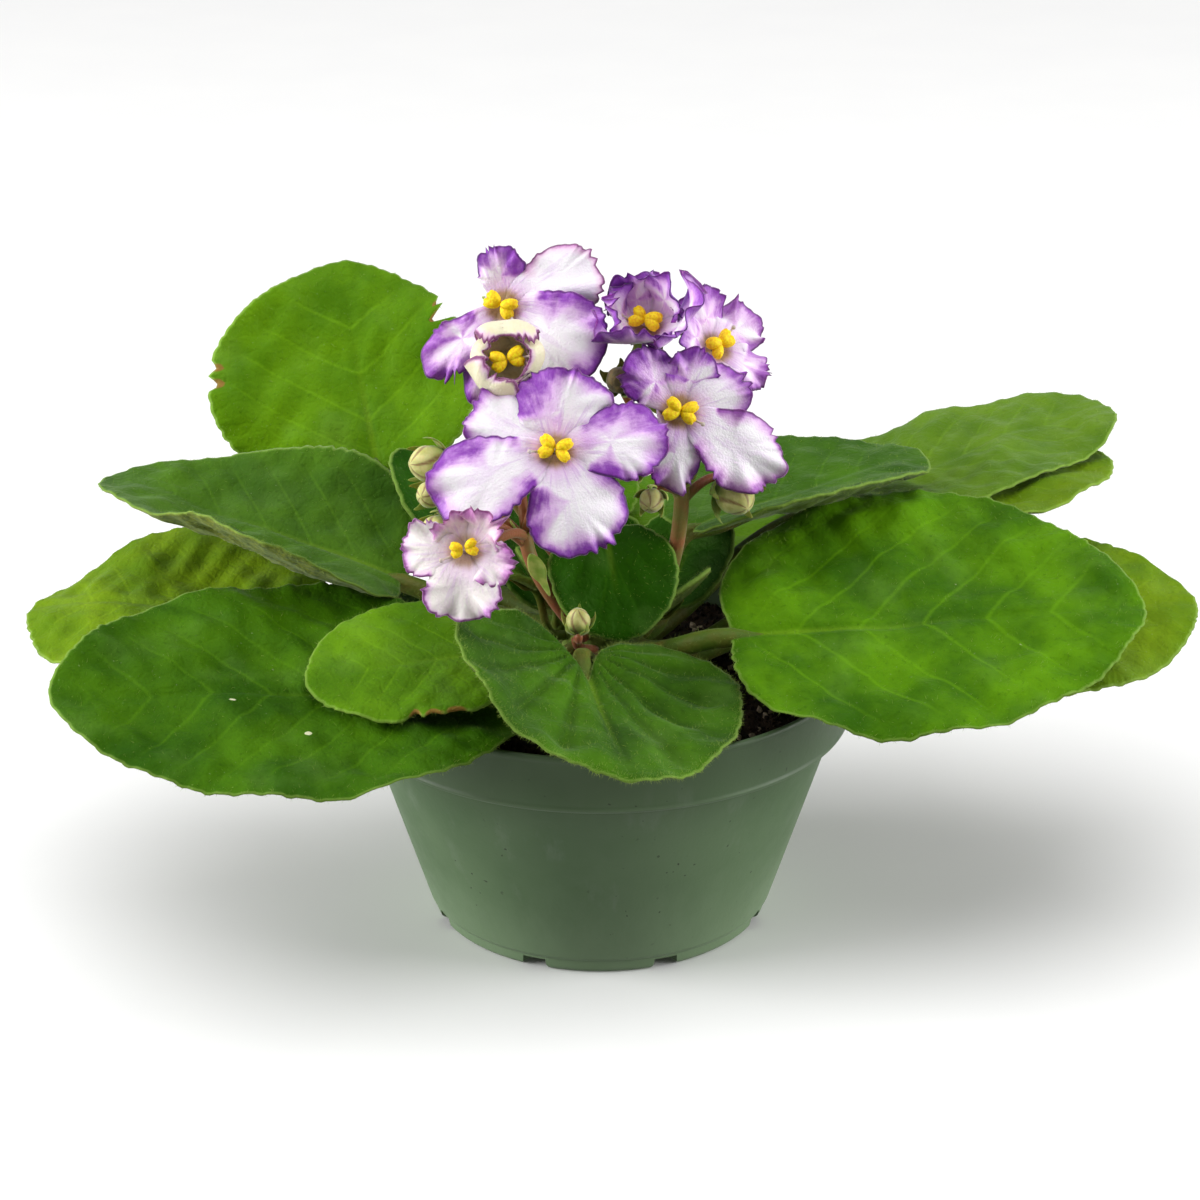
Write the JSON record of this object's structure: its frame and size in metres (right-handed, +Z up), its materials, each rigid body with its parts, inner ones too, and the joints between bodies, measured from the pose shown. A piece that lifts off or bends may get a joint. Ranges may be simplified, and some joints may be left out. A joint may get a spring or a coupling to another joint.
{
  "type": "potted african violet",
  "caption": "Flowering African violet: a rosette of broad fleshy leaves under ruffled white and purple flowers, in a round tapered nursery pot.",
  "frame": {"origin": "centre of the pot's flat underside, on the surface it stands on", "axes": "+Z up; the plant's wide side runs along X; its front, with the open flowers, faces -Y"},
  "size_m": [0.2528, 0.1619, 0.1443],
  "materials": {
    "pot_plastic": "thin grey-green polypropylene, satin, with faint moulding lines",
    "potting_mix": "moist peat-based mix, nearly black, with bark crumbs and white perlite",
    "leaf": "fleshy hairy leaf, deep green above with lighter veins, paler beneath",
    "stem": "fleshy hairy stem, pale green flushed with orange-brown",
    "petal": "thin ruffled petal, white with purple edges and veins",
    "pollen": "smooth bright yellow pollen sac",
    "bud": "closed hairy bud, pale olive to cream with brown tips"
  },
  "bodies": {
    "root": {"pot": "pot_plastic", "potting_mix": "potting_mix", "crown": "stem", "leaf_back_left": "leaf", "leaf_left_cupped": "leaf", "leaf_far_left": "leaf", "leaf_front_left_large": "leaf", "leaf_front_left_small": "leaf", "leaf_front_centre": "leaf", "leaf_young_centre": "leaf", "leaf_right_large": "leaf", "leaf_far_right": "leaf", "leaf_right_cupped": "leaf", "leaf_back_right_upper": "leaf", "leaf_back_right_lower": "leaf", "leaf_back_centre_left": "leaf", "leaf_back_centre_right": "leaf", "leaf_young_left": "leaf", "flower_stalk_left": "stem", "flower_stalk_centre": "stem", "flower_stalk_right": "stem", "flower_stalk_low": "stem", "flower_top_left": "petal", "flower_half_open": "petal", "flower_centre": "petal", "flower_right": "petal", "flower_back_left": "petal", "flower_back_right": "petal", "flower_low_left": "petal", "anthers_top_left": "pollen", "anthers_half_open": "pollen", "anthers_centre": "pollen", "anthers_right": "pollen", "anthers_back_left": "pollen", "anthers_back_right": "pollen", "anthers_low_left": "pollen", "bud_left_upper": "bud", "bud_left_middle": "bud", "bud_left_lower": "bud", "bud_right_lower": "bud", "bud_right_middle": "bud", "bud_right_back": "bud", "bud_top_centre": "bud", "bud_low_front": "bud"}
  },
  "joints": []
}
